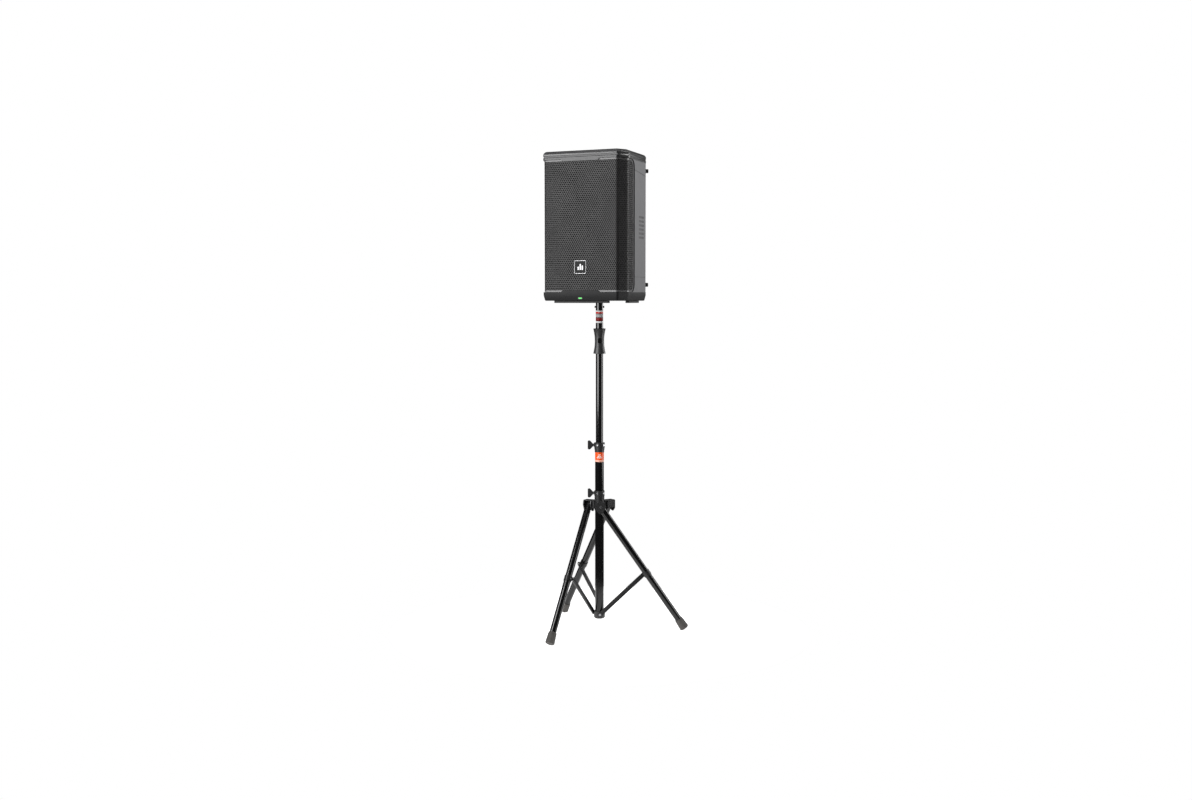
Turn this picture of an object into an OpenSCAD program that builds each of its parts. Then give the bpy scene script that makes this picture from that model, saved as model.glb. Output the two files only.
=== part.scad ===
// Powered two-way PA speaker on a telescopic tripod stand.
// The origin is on the floor under the middle of the whole object. The speaker faces -Y.

/* [Speaker] */
// Height of the cabinet without its feet
cabinet_h = 690; // [620:1:760]
// Half of the cabinet's greatest width, over the caps
cabinet_half_w = 219; // [219:1:230]
// How much each side comes in for every millimetre towards the back
side_taper = 0.13; // [0.08:0.01:0.16]
// Distance from the pole's axis to the front face
front_y = 205; // [203:1:215]
// Distance from the pole's axis to the rear face
rear_y = 155; // [150:1:175]
// Height of each end cap
cap_h = 40; // [36:1:48]
// Radius of the woofer's frame
woofer_r = 192; // [180:1:192]
// Width of the square badge
badge_w = 62; // [40:1:70]

/* [Stand] */
// Outer diameter of the main tube
mast_d = 42; // [42:0.5:43]
// Outer diameter of the telescopic pole
pole_d = 35; // [34.5:0.1:35.4]
// Outer diameter of a leg tube
leg_d = 32; // [26:0.5:33]
// Height of the leg pivots above the floor
hub_z = 601; // [590:1:606]
// Height of the brace pivots above the floor
base_z = 73; // [70:1:78]
// Distance along a leg from its pivot to its brace
leg_to_brace = 392; // [385:1:400]
// Distance between the two pivots of a brace
brace_len = 302; // [296:1:310]
// Height of the cabinet's feet above the floor
cabinet_z = 1567; // [1500:1:1640]

/* [Hidden] */
$fn = 48;
run = 0.05;   // radial clearance of a running fit
loose = 0.3;  // gap between pieces that only pass each other

// Stand linkage: the leg, the brace and the mast make a triangle.
pivot_gap = hub_z - base_z;
leg_angle = acos((pow(leg_to_brace, 2) + pow(pivot_gap, 2) - pow(brace_len, 2)) / (2 * leg_to_brace * pivot_gap));
brace_angle = acos((pow(brace_len, 2) + pow(pivot_gap, 2) - pow(leg_to_brace, 2)) / (2 * brace_len * pivot_gap));
arm_azimuths = [30, 150, 270];
leg_plane = 56;      // from the mast's axis to the plane that a leg swings in
brace_in = 25;       // inner face of a brace's channel
brace_out = 32.5;    // outer edge of a brace's channel

// Rubber feet of the stand
foot_r = 22;
foot_edge = 6;
foot_h = 55;
foot_flat = 1.2;
foot_end = foot_edge + (hub_z + foot_flat - foot_edge - (foot_r - foot_edge) * sin(leg_angle)) / cos(leg_angle);

// The middle of the whole object's outline is over the origin, so the mast stands a little off it.
function polar(azimuth) = [sin(azimuth), -cos(azimuth)];
function foot_xy(azimuth) = leg_plane * polar(azimuth) + (foot_end - 10) * sin(leg_angle) * polar(azimuth + 90);
mast_x = -(foot_xy(30)[0] + foot_xy(150)[0]) / 2;
mast_y = -(foot_xy(270)[1] + foot_xy(150)[1]) / 2;

mast_r = mast_d / 2;
mast_wall = 2;
mast_low = 58;
mast_top = 878;
pole_r = pole_d / 2;
pole_wall = 2;
pole_low = 560;
leg_r = leg_d / 2;
leg_wall = 1.5;
leg_above = 7;       // tube above the leg's pivot
pin_r = 3.95;
rivet_r = 2.95;

collar_low = 856;
collar_top = 901;
collar_r = 25.5;
collar_screw_z = 890;
hub_low = 575;
hub_top = 670;
hub_r = 24.5;
hub_screw_z = 659;
knob_azimuth = -62;
bolt_azimuths = [5, 76];
stud_r = 4;
knob_start = 29;
knob_len = 27;
band_low = 810;
grip_low = 1325;
grip_h = 122;
grip_button_z = 1388;
grip_azimuth = 26;
button_w = 15;
button_h = 26;
label_low = 1473;
label_h = 58;
cross_pin_z = 1548;
cup_depth = 96;
pole_top = cabinet_z + 10 + cup_depth - 8;

// Cabinet levels, measured from its feet
feet_h = 10;
body_low = feet_h;
body_top = feet_h + cabinet_h;
shell_low = body_low + cap_h;
shell_top = body_top - cap_h;
wall = 6;
bevel_x = cabinet_half_w - 28;  // front corners' bevel starts here
bevel_y = -140;                 // and ends here
round_r = 20;    // top edge
taper_in = 5;    // how far the bottom edge tapers in
taper_h = 26;    // level where that taper starts
toe_r = 6;       // radius under the taper
side_over = 30;  // how far an edge's cutter runs past its corners
grille_set = 5;      // how far the grille lies behind the caps
grille_t = 1.5;
grille_back = -55;
grille_corner = 45;  // at the top and bottom of the grille's rear edges
panel_front = -50;
baffle_y = -152;
baffle_t = 15;
woofer_z = 262;
horn_z = 560;
amp_w = 224;
amp_h = 380;
amp_z = 330;
amp_t = 3;
ledge = 16;          // width of the frame that the amplifier's panel is screwed to
panel_y = rear_y - 9;
rigging_x = [-120, 120];
rigging_y = 60;
rigging_r = 4.25;    // bore of an M10 thread
lip_z = 31;          // from the cabinet's top down to the lip under the round edge
lip_in = 2.4;        // how deep the groove over the lip is
badge_z = 165;
led_w = 22;
led_h = 8;
led_z = 18;

// Marks pressed into the sides
mark_y = 66;         // from the end of the grille back to the bars
mark_w = 72;
mark_h = 9;
mark_step = 19;
mark_low = 301;
mark_deep = 1.6;
slope_z = 612;       // level of the sloping line at the grille
slope = 5;           // its angle
line_z = 120;        // level of the lower line
line_deep = 1;

// Rubber feet and buffers of the cabinet
strip_w = 18;
front_strip_w = 276;
side_strip_x = 187;
side_strip_y = -90;
side_strip_len = 155;
rear_strip_x = 112;
rear_strip_w = 62;
bumper_r = 10;
bumper_h = 13;
bumper_z = [86, 624];

// Features of the amplifier's panel
inlet_x = 66;
inlet_z = amp_z - 140;
rocker_z = amp_z - 101;
knob_x = [-46, 10];
controls_z = amp_z + 70;
socket_x = [-62, -14];
sockets_z = amp_z - 10;
screw_inset = 8;
sink_x = -22;
sink_z = amp_z + 96;
sink_w = 136;
sink_h = 70;
fins = 10;
fin_t = 2.4;

// ---- helpers ----
module at_mast() { translate([mast_x, mast_y, 0]) children(); }
module at_speaker() { translate([mast_x, mast_y, cabinet_z]) children(); }

// Local X runs along the leg's swing, local -Y points out along the arm.
module on_arm(azimuth) { at_mast() rotate([0, 0, azimuth]) children(); }
module on_leg(azimuth) { on_arm(azimuth) translate([0, -leg_plane, hub_z]) rotate([0, -leg_angle, 0]) children(); }
module on_brace(azimuth) { on_arm(azimuth) translate([0, 0, base_z]) rotate([0, brace_angle, 0]) children(); }

// A rod along local -Y, from distance a to distance b
module radial(r, a, b) { translate([0, -a, 0]) rotate([90, 0, 0]) cylinder(r = r, h = b - a); }
module ring(r_out, r_in, h) {
    difference() {
        cylinder(r = r_out, h = h, $fn = 96);
        translate([0, 0, -1]) cylinder(r = r_in, h = h + 2, $fn = 96);
    }
}

// A block with its middle at x, its near face at y and its foot at z
module block(x, y, z, w, d, h) { translate([x - w / 2, y, z]) cube([w, d, h]); }

// Draws an outline in the X-Z plane and thickens it towards +Y from y
module upright(y, depth) { translate([0, y + depth, 0]) rotate([90, 0, 0]) linear_extrude(depth) children(); }

function unit(v) = v / norm(v);
function turned(v) = [-v[1], v[0]];
function around(p, i) = p[(i + len(p)) % len(p)];

// Moves each side of a counter-clockwise outline inwards by d
function inset(p, d) = [for (i = [0:len(p) - 1])
    let (
        before = turned(unit(p[i] - around(p, i - 1))),
        after = turned(unit(around(p, i + 1) - p[i]))
    )
    p[i] + d * (before + after) / (1 + before * after)];

// Rounds each corner of an outline with a curve that starts at distance t from it
function rounded(p, t, steps = 5) = [for (i = [0:len(p) - 1])
    let (
        start = p[i] + t * unit(around(p, i - 1) - p[i]),
        end = p[i] + t * unit(around(p, i + 1) - p[i])
    )
    for (k = [0:steps]) let (s = k / steps)
    pow(1 - s, 2) * start + 2 * s * (1 - s) * p[i] + pow(s, 2) * end];

// Plan of the cabinet over its caps
function side_x(y) = cabinet_half_w - side_taper * (y - bevel_y);
rear_corner = [side_x(rear_y - 28), rear_y - 28];
rear_edge = [side_x(rear_y) - 14, rear_y];
function plan() = [
    [-bevel_x, -front_y], [bevel_x, -front_y], [cabinet_half_w, bevel_y], rear_corner,
    rear_edge, [-rear_edge[0], rear_edge[1]], [-rear_corner[0], rear_corner[1]], [-cabinet_half_w, bevel_y]];
function plan_in(d) = rounded(inset(plan(), d), 9);
function rounded_box(w, h, t) = rounded([[-w / 2, -h / 2], [w / 2, -h / 2], [w / 2, h / 2], [-w / 2, h / 2]], t);
module slab(d, low, high) { translate([0, 0, low]) linear_extrude(high - low) polygon(plan_in(d)); }

// Part of the cabinet behind y
module behind(y) { translate([-300, y, -50]) cube([600, 400, 900]); }

// ---- stand: mast ----
module main_tube() {
    color("#141416") at_mast() difference() {
        translate([0, 0, mast_low]) ring(mast_r, mast_r - mast_wall, mast_top - mast_low);
        translate([0, 0, band_low]) ring(mast_r + 1, mast_r - 0.3, collar_low - band_low);
    }
}
module tube_band() {
    color("#ff5a14") at_mast() translate([0, 0, band_low])
        ring(mast_r, mast_r - 0.3, collar_low - band_low);
}
module clamp_bolts(r, z) {
    for (azimuth = bolt_azimuths) at_mast() translate([0, 0, z]) rotate([0, 0, azimuth]) {
        radial(2.5, r - 3, r);
        radial(4.2, r, r + 2.6);
    }
}
// A knob's stud, from the tube that it presses on, or its running hole where extra widens it
module clamp_stud(start, z, extra = 0) {
    at_mast() translate([0, 0, z]) rotate([0, 0, knob_azimuth]) radial(stud_r + extra, start, knob_start + 12);
}
module upper_collar() {
    color("#37373a") difference() {
        at_mast() union() {
            translate([0, 0, collar_low]) ring(mast_r + 1.6, mast_r, mast_top - collar_low);
            translate([0, 0, mast_top]) ring(collar_r, pole_r + run, collar_top - mast_top);
            translate([0, 0, collar_low + 12]) ring(mast_r + 3.2, mast_r, mast_top - collar_low - 12);
            translate([0, 0, collar_screw_z]) rotate([0, 0, knob_azimuth]) radial(8, collar_r - 3, knob_start - 1);
        }
        clamp_bolts(collar_r, collar_screw_z);
        clamp_stud(0, collar_screw_z, run);
    }
}
module collar_bolts() { color("#e4e4e6") clamp_bolts(collar_r, collar_screw_z); }
module base_fitting() {
    color("#2c2c2e") difference() {
        at_mast() difference() {
            translate([0, 0, mast_low]) cylinder(r = 27, h = 30, $fn = 96);
            translate([0, 0, mast_low - 1]) cylinder(r = mast_r, h = 40, $fn = 96);
            for (azimuth = arm_azimuths) rotate([0, 0, azimuth])
                translate([-30, -40, mast_low - 1]) cube([60, 40 - brace_in + 0.4, 40]);
        }
        base_rivets();
    }
}
module base_cap() {
    color("#232325") at_mast() union() {
        translate([0, 0, mast_low - 4]) cylinder(r = 24.4, h = 4, $fn = 96);
        translate([0, 0, mast_low - 6]) cylinder(r = 20, h = 2, $fn = 96);
        translate([0, 0, mast_low]) cylinder(r = mast_r - mast_wall - run, h = 10);
    }
}
module base_rivets() {
    color("#8c8c90") for (azimuth = arm_azimuths) on_arm(azimuth) translate([0, 0, base_z]) {
        radial(rivet_r, mast_r + 1, 27.2);
        radial(5.5, 27.2, 30);
    }
}

// ---- stand: clamp knobs ----
// A wing that widens away from its stud, with a round boss
module clamp_knob(z) {
    at_mast() translate([0, 0, z]) rotate([0, 0, knob_azimuth]) difference() {
        union() {
            radial(7, knob_start, knob_start + 12);
            translate([-6, 0, 0]) rotate([0, -90, 180]) linear_extrude(12)
                polygon(rounded([[-6, knob_start + 2], [6, knob_start + 2], [22, knob_start + 17],
                    [20, knob_start + knob_len], [-20, knob_start + knob_len], [-22, knob_start + 17]], 4));
        }
        radial(stud_r, knob_start - 1, knob_start + 12);
    }
}
module upper_knob() { color("#1d1d1f") clamp_knob(collar_screw_z); }
module upper_knob_stud() { color("#9a9a9e") clamp_stud(pole_r + loose, collar_screw_z); }
module hub_knob() { color("#1d1d1f") clamp_knob(hub_screw_z); }
module hub_knob_stud() { color("#9a9a9e") clamp_stud(mast_r + loose, hub_screw_z); }

// ---- stand: telescopic pole ----
module pole() {
    color("#141416") difference() {
        at_mast() difference() {
            translate([0, 0, pole_low]) ring(pole_r, pole_r - pole_wall, pole_top - pole_low);
            translate([0, 0, label_low]) ring(pole_r + 1, pole_r - 0.3, label_h);
        }
        pole_pin();
    }
}
module pole_plug() {
    color("#2a2a2c") at_mast() union() {
        translate([0, 0, pole_low - 20]) cylinder(r = mast_r - mast_wall - run, h = 20, $fn = 96);
        translate([0, 0, pole_low]) cylinder(r = pole_r - pole_wall, h = 25, $fn = 96);
    }
}
module pole_band() {
    color("#c8c8ca") at_mast() translate([0, 0, label_low]) ring(pole_r, pole_r - 0.3, label_h);
}
module pole_pin() {
    color("#8c8c90") at_mast() translate([0, 0, cross_pin_z]) rotate([0, 0, grip_azimuth + 90]) union() {
        radial(3.5, -20, 20);
        radial(5.2, 19, 23);
        radial(5.2, -23, -19);
    }
}
module grip_sleeve() {
    color("#58585a") difference() {
        at_mast() translate([0, 0, grip_low]) rotate_extrude($fn = 96) polygon(concat(
            [[pole_r, grip_h], [pole_r, 0]],
            [for (k = [0:12]) let (s = k / 12) [22 + 7.5 * pow(2 * s - 1, 2), 2 + s * (grip_h - 4)]]));
        grip_slot(button_w + 2 * loose, button_h + 2 * loose, pole_r, 40);
    }
}
// An upright slot with round ends, facing the grip's front
module grip_slot(w, h, from, to) {
    at_mast() translate([0, 0, grip_button_z]) rotate([0, 0, grip_azimuth]) union() {
        for (side = [-1, 1]) translate([0, 0, side * (h - w) / 2]) radial(w / 2, from, to);
        translate([-w / 2, -to, -(h - w) / 2]) cube([w, to - from, h - w]);
    }
}
module grip_button() { color("#0c0c0d") grip_slot(button_w, button_h, pole_r + 2.5, 23); }
module pole_top_cap() {
    color("#2a2a2c") at_mast() union() {
        translate([0, 0, pole_top + loose / 2]) cylinder(r = pole_r - 0.2, h = 8 - loose, $fn = 96);
        translate([0, 0, pole_top - 18]) cylinder(r = pole_r - pole_wall - run, h = 19, $fn = 96);
    }
}

// ---- stand: hub ----
cheek_t = 4.4;
cheek_in = leg_plane - leg_r - cheek_t - 0.6;
cheek_out = leg_plane + leg_r + cheek_t + 0.6;
function cheek() = [[-21, 22], [20, 22], [25, 2], [12, -28], [-6, -34], [-21, -18]];
module hub_arm() {
    translate([0, 0, hub_z]) {
        upright(-cheek_in - cheek_t, cheek_t) polygon(rounded(cheek(), 4));
        upright(-cheek_out, cheek_t) polygon(rounded(cheek(), 4));
        translate([-19, -cheek_out + 1, 18]) cube([37, cheek_out - 22, 4]);
        translate([-21, -cheek_out + 1, -14]) cube([2.6, cheek_out - cheek_in, 34]);
        translate([-13, -cheek_in, -16]) cube([26, cheek_in - 22, 34]);
    }
}
module hub_collar() {
    color("#37373a") difference() {
        union() {
            at_mast() union() {
                translate([0, 0, hub_low]) cylinder(r = mast_r + 2.6, h = hub_top - hub_low, $fn = 96);
                translate([0, 0, hub_screw_z - 14]) cylinder(r = hub_r, h = hub_top - hub_screw_z + 14, $fn = 96);
                translate([0, 0, hub_screw_z]) rotate([0, 0, knob_azimuth]) radial(8, hub_r - 3, knob_start - 1);
            }
            for (azimuth = arm_azimuths) on_arm(azimuth) hub_arm();
        }
        at_mast() translate([0, 0, hub_low - 20]) cylinder(r = mast_r + run, h = 140, $fn = 96);
        hub_pins();
        clamp_bolts(hub_r, hub_screw_z);
        clamp_stud(0, hub_screw_z, run);
    }
}
module hub_bolts() { color("#e4e4e6") clamp_bolts(hub_r, hub_screw_z); }
module hub_pins() {
    color("#8c8c90") for (azimuth = arm_azimuths) on_arm(azimuth) translate([0, 0, hub_z]) {
        radial(pin_r, mast_r + 5, cheek_out);
        radial(6.5, cheek_out, cheek_out + 3.5);
    }
}

// ---- stand: legs ----
module leg(azimuth) {
    color("#141416") on_leg(azimuth) difference() {
        translate([0, 0, leg_above - foot_end + 14]) cylinder(r = leg_r, h = foot_end - 14);
        translate([0, 0, -foot_end]) cylinder(r = leg_r - leg_wall, h = foot_end + 20);
        radial(pin_r + run, -30, 30);
    }
}
module foot(azimuth) {
    color("#55504b") difference() {
        on_leg(azimuth) translate([0, 0, -foot_end]) difference() {
            rotate_extrude($fn = 96) polygon(concat(
                [[0, 0]],
                [for (a = [-90:15:0]) [foot_r - foot_edge + foot_edge * cos(a), foot_edge + foot_edge * sin(a)]],
                [[foot_r - 2, foot_h - 10], [foot_r - 3.5, foot_h], [0, foot_h]]));
            translate([0, 0, 20]) cylinder(r = leg_r, h = foot_h);
        }
        translate([-700, -700, -50]) cube([1400, 1400, 50]);
    }
}
module leg_bracket(azimuth) {
    color("#242426") on_leg(azimuth) translate([0, 0, -leg_to_brace]) union() {
        translate([0, 0, -13]) ring(leg_r + 2.5, leg_r, 26);
        difference() {
            rotate([-90, 0, 0]) cylinder(r = 9, h = leg_plane - brace_out - 1);
            translate([0, 0, -20]) cylinder(r = leg_r + 1, h = 40);
        }
    }
}
module brace(azimuth) {
    color("#2e2e30") on_brace(azimuth) difference() {
        union() {
            translate([-10, -brace_in - 1.6, 0]) cube([20, 1.6, brace_len]);
            for (side = [-10, 8.4]) translate([side, -brace_out, 6])
                cube([1.6, brace_out - brace_in, brace_len - 12]);
            for (z = [0, brace_len]) translate([0, 0, z]) radial(10, brace_in, brace_in + 1.6);
        }
        for (z = [0, brace_len]) translate([0, 0, z]) radial(rivet_r + run, brace_in - 1, brace_out);
    }
}
module leg_a() { leg(arm_azimuths[0]); }
module leg_b() { leg(arm_azimuths[1]); }
module leg_c() { leg(arm_azimuths[2]); }
module foot_a() { foot(arm_azimuths[0]); }
module foot_b() { foot(arm_azimuths[1]); }
module foot_c() { foot(arm_azimuths[2]); }
module leg_bracket_a() { leg_bracket(arm_azimuths[0]); }
module leg_bracket_b() { leg_bracket(arm_azimuths[1]); }
module leg_bracket_c() { leg_bracket(arm_azimuths[2]); }
module brace_a() { brace(arm_azimuths[0]); }
module brace_b() { brace(arm_azimuths[1]); }
module brace_c() { brace(arm_azimuths[2]); }

// ---- speaker: cabinet ----
// The shell is the moulded sides and back. Its front part is set in, and the grille lies over it.
module cabinet_shell() {
    color("#6e6e72") at_speaker() difference() {
        union() {
            difference() {
                slab(1, shell_low, shell_top);
                grille_side(panel_front);
            }
            intersection() {
                slab(10, shell_low, shell_top);
                behind(baffle_y);
            }
        }
        slab(10 + wall, shell_low - 1, shell_top + 1);
        block(0, panel_y, amp_z - amp_h / 2, amp_w, 40, amp_h);
        block(0, rear_y - 20, amp_z - amp_h / 2 + ledge, amp_w - 2 * ledge, 20, amp_h - 2 * ledge);
        screws_at() screw_shank();
        for (side = [-1, 1]) on_side(side) side_marks();
    }
}
side_turn = atan(side_taper);

// Local Y runs back along a side panel from the end of the grille, and X = 0 lies on its surface
module on_side(side) {
    translate([side * (side_x(panel_front) - 1), panel_front, 0]) rotate([0, 0, side * side_turn]) children();
}
// Grooves pressed into a side panel: six bars, a sloping line near the top and a level one low down
module side_marks() {
    for (k = [0:5]) translate([-mark_deep, mark_y, mark_low + mark_step * k])
        cube([2 * mark_deep, mark_w, mark_h]);
    translate([-line_deep, 0, slope_z]) rotate([-slope, 0, 0]) cube([2 * line_deep, 260, 2.4]);
    translate([-line_deep, 0, line_z]) cube([2 * line_deep, 260, 1.6]);
}
module baffle() {
    color("#2a2a2c") at_speaker() difference() {
        intersection() {
            slab(10 + wall, shell_low, shell_top);
            translate([-300, baffle_y, 0]) cube([600, baffle_t, 900]);
        }
        translate([0, baffle_y - 1, woofer_z]) rotate([-90, 0, 0]) cylinder(r = woofer_r - 12, h = 30, $fn = 96);
        block(0, baffle_y - 1, horn_z - 72, 290, 30, 144);
        for (side = [-1, 1]) translate([side * 160, baffle_y - 1, shell_low + 42]) rotate([-90, 0, 0])
            cylinder(r = 20, h = 30);
    }
}
// Runs a section along each side of the cabinet's outline, its x inwards and its y up
module along_outline(z) {
    corners = plan();
    for (i = [0:len(corners) - 1]) let (side = around(corners, i + 1) - corners[i])
        translate([corners[i][0], corners[i][1], z]) rotate([0, 0, atan2(side[1], side[0])])
            rotate([90, 0, 90]) translate([0, 0, -side_over]) linear_extrude(norm(side) + 2 * side_over) children();
}
// What rounding the cabinet's top edge takes away
module top_round() {
    difference() {
        translate([-1, -round_r]) square(round_r + 1);
        translate([round_r, -round_r]) circle(round_r, $fn = 96);
    }
}
// The groove between the round top edge and the lip under it
module lip_groove() {
    polygon([[-1, 9 - lip_z], [lip_in, 8 - lip_z], [lip_in, lip_in - lip_z], [0, -lip_z], [-1, -lip_z]]);
}
// Trapezoid tab at the middle of a cap's front edge
module cap_tab(z, dir) {
    upright(-front_y, grille_set - loose)
        polygon([[-100, z], [100, z], [90, z + dir * 10], [-90, z + dir * 10]]);
}
module top_cap() {
    color("#4b4b4e") at_speaker() difference() {
        union() {
            slab(0, shell_top, body_top);
            cap_tab(shell_top + 1, -1);
        }
        along_outline(body_top) top_round();
        along_outline(body_top) lip_groove();
        slab(10 + wall, shell_top - 1, body_top - 8);
        for (x = rigging_x) translate([x, rigging_y, body_top - 12]) cylinder(r = rigging_r, h = 20);
    }
}
module bottom_cap() {
    color("#3b3b3d") at_speaker() difference() {
        union() {
            hull() {
                slab(0, body_low + taper_h, shell_low);
                slab(taper_in, body_low + toe_r, body_low + taper_h);
                slab(taper_in + toe_r / 4, body_low + toe_r / 4, body_low + taper_h);
                slab(taper_in + toe_r, body_low, body_low + taper_h);
            }
            cap_tab(shell_low - 1, 1);
        }
        slab(10 + wall, body_low + 8, shell_low + 1);
        translate([0, 0, -1]) cylinder(r = pole_r + 6, h = 40);
        block(0, -front_y - 1, led_z, led_w, 12, led_h);
    }
}
// What the grille's side outline covers from the front back to y, with large rear corners
module grille_side(y) {
    translate([-300, 0, 0]) rotate([90, 0, 90]) linear_extrude(600) polygon(rounded(
        [[-400, shell_low], [y, shell_low], [y, shell_top], [-400, shell_top]], grille_corner, 8));
}
module grille() {
    color("#47474a") at_speaker() difference() {
        intersection() {
            slab(grille_set, shell_low + 0.5, shell_top - 0.5);
            grille_side(grille_back);
        }
        slab(grille_set + grille_t, 0, 900);
    }
}
module grille_foam() {
    color("#1a1a1b") at_speaker()
        block(0, -front_y + grille_set + grille_t + loose, shell_low + 6, 340, 6, shell_top - shell_low - 12);
}
module badge() {
    color("#c9c9cc") at_speaker() difference() {
        translate([0, 0, badge_z]) upright(-front_y + grille_set - 3, 3) polygon(rounded_box(badge_w, badge_w, 5));
        translate([0, 0, badge_z]) upright(-front_y + grille_set - 4, 2.4)
            polygon(rounded_box(badge_w - 7, badge_w - 7, 3));
    }
}
module led_lens() { color("#00ff32") at_speaker() block(0, -front_y + 1.6, led_z, led_w, 8, led_h); }
module cabinet_feet() {
    color("#19191a") at_speaker() {
        block(0, -front_y + 13, 0, front_strip_w, strip_w, feet_h);
        for (side = [-1, 1]) {
            translate([side * side_strip_x, side_strip_y, 0]) rotate([0, 0, side * side_turn])
                block(0, 0, 0, strip_w, side_strip_len, feet_h);
            block(side * rear_strip_x, rear_y - 34, 0, rear_strip_w, strip_w, feet_h);
        }
    }
}
// Round rubber buffers on the rear corners
module rear_bumpers() {
    corner_mid = (rear_corner + rear_edge) / 2;
    corner_turn = atan2(rear_edge[1] - rear_corner[1], rear_edge[0] - rear_corner[0]);
    color("#1c1c1d") at_speaker() for (side = [0, 1]) mirror([side, 0, 0]) for (z = bumper_z)
        translate([corner_mid[0], corner_mid[1], z]) rotate([0, 0, corner_turn]) translate([0, 1, 0])
            rotate([90, 0, 0]) cylinder(r1 = bumper_r, r2 = bumper_r - 1, h = bumper_h);
}
module pole_cup() {
    color("#232325") at_speaker() difference() {
        union() {
            translate([0, 0, body_low]) cylinder(r = pole_r + 6, h = cup_depth + 6, $fn = 96);
            translate([0, 0, body_low + 8]) cylinder(r = pole_r + 22, h = 4, $fn = 96);
        }
        translate([0, 0, body_low - 1]) cylinder(r = pole_r + 0.2, h = cup_depth + 1, $fn = 96);
    }
}
module rigging_inserts() {
    color("#a8a8ac") at_speaker() for (x = rigging_x) translate([x, rigging_y, body_top - 28]) difference() {
        cylinder(r = 8, h = 20);
        translate([0, 0, 4]) cylinder(r = rigging_r, h = 20);
    }
}

// ---- speaker: drivers ----
// Revolves an outline of [radius, depth] about the woofer's axis
module woofer_turn() { translate([0, baffle_y, woofer_z]) rotate([-90, 0, 0]) rotate_extrude($fn = 96) children(); }
module woofer_basket() {
    color("#2b2b2d") at_speaker() difference() {
        woofer_turn() polygon([[woofer_r, -4], [woofer_r, 0], [woofer_r - 12.5, 0], [woofer_r - 12.5, 22],
            [112, 96], [92, 96], [92, 93], [110, 93], [woofer_r - 16, 20], [woofer_r - 16, -4]]);
        translate([0, baffle_y, woofer_z]) rotate([-90, 0, 0]) for (k = [0:7]) rotate([0, 0, 45 * k])
            translate([120, -22, 36]) cube([70, 44, 50]);
    }
}
module woofer_magnet() {
    color("#6a6a6e") at_speaker() difference() {
        woofer_turn() polygon([[0, 97], [112, 97], [112, 105], [72, 105], [72, 133], [78, 133], [78, 141], [0, 141]]);
        woofer_turn() polygon([[36, 96], [42, 96], [42, 135], [36, 135]]);
    }
}
module woofer_surround() {
    color("#151516") at_speaker() woofer_turn() polygon(concat(
        [for (a = [0:20:180]) [(woofer_r - 28) + 12 * cos(a), 2 - 12 * sin(a)]],
        [for (a = [180:-20:0]) [(woofer_r - 28) + 10.5 * cos(a), 3.5 - 12 * sin(a)]]));
}
module woofer_cone() {
    rim = woofer_r - 28 - 12.4;
    color("#1f1f20") at_speaker() woofer_turn() polygon([
        [rim, 1], [rim, 3.5], [41, 70], [41, 112], [39, 112], [39, 70],
        [39, 66], [0, 50], [0, 48], [39, 62], [41, 66]]);
}
module horn() {
    mouth = [286, 140];
    throat = 30;
    color("#19191a") at_speaker() translate([0, 0, horn_z]) difference() {
        hull() {
            block(0, baffle_y + 1, -mouth[1] / 2, mouth[0], 4, mouth[1]);
            block(0, -62, -throat / 2 - 4, throat + 8, 4, throat + 8);
        }
        hull() {
            block(0, baffle_y, -mouth[1] / 2 + 4, mouth[0] - 8, 2, mouth[1] - 8);
            block(0, -60, -throat / 2, throat, 4, throat);
        }
    }
}
module compression_driver() {
    color("#3a3a3d") at_speaker() translate([0, -58, horn_z]) rotate([-90, 0, 0]) {
        cylinder(r = 34, h = 8, $fn = 96);
        translate([0, 0, 8]) cylinder(r = 58, h = 44, $fn = 96);
        translate([0, 0, 52]) cylinder(r = 46, h = 10, $fn = 96);
    }
}

// ---- speaker: amplifier at the back ----
module amp_panel() {
    color("#26262a") at_speaker() difference() {
        block(0, panel_y, amp_z - amp_h / 2 + 1, amp_w - 2, amp_t, amp_h - 2);
        for (x = knob_x) translate([x, panel_y - 1, controls_z]) rotate([-90, 0, 0]) cylinder(r = 3.5, h = 6);
        for (x = socket_x) translate([x, panel_y - 1, sockets_z]) rotate([-90, 0, 0]) cylinder(r = 12.5, h = 6);
        block(inlet_x, panel_y - 1, inlet_z - 14, 50, 6, 28);
        block(inlet_x, panel_y - 1, rocker_z - 11, 31, 6, 22);
        rocker_pin(run);
        screws_at() screw_shank();
    }
}
module screws_at() {
    for (x = [-1, 1]) for (z = [-1, 0, 1])
        translate([x * (amp_w / 2 - screw_inset), panel_y, amp_z + z * (amp_h / 2 - screw_inset)]) children();
}
module screw_shank() { translate([0, -6, 0]) rotate([-90, 0, 0]) cylinder(r = 2, h = 6 + amp_t); }
module panel_screws() {
    color("#77777b") at_speaker() screws_at() {
        screw_shank();
        translate([0, amp_t, 0]) rotate([-90, 0, 0]) cylinder(r = 4, h = 2);
    }
}
module heat_sink() {
    color("#1d1d20") at_speaker() union() {
        block(sink_x, panel_y - 6, sink_z, sink_w, 6, sink_h);
        for (k = [0:fins - 1]) let (x = sink_x + (sink_w - 2 * fin_t) * (k / (fins - 1) - 0.5))
            block(x, panel_y - 26, sink_z, fin_t, 21, sink_h);
    }
}
module amp_board() {
    color("#2f6b3c") at_speaker() {
        block(0, panel_y - 30, amp_z - 170, 180, 1.6, 250);
        block(-40, panel_y - 60, amp_z - 140, 60, 30, 60);
        for (k = [0:2]) translate([20 + 24 * k, panel_y - 30, amp_z - 60]) rotate([90, 0, 0])
            cylinder(r = 10, h = 30);
    }
}
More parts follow.
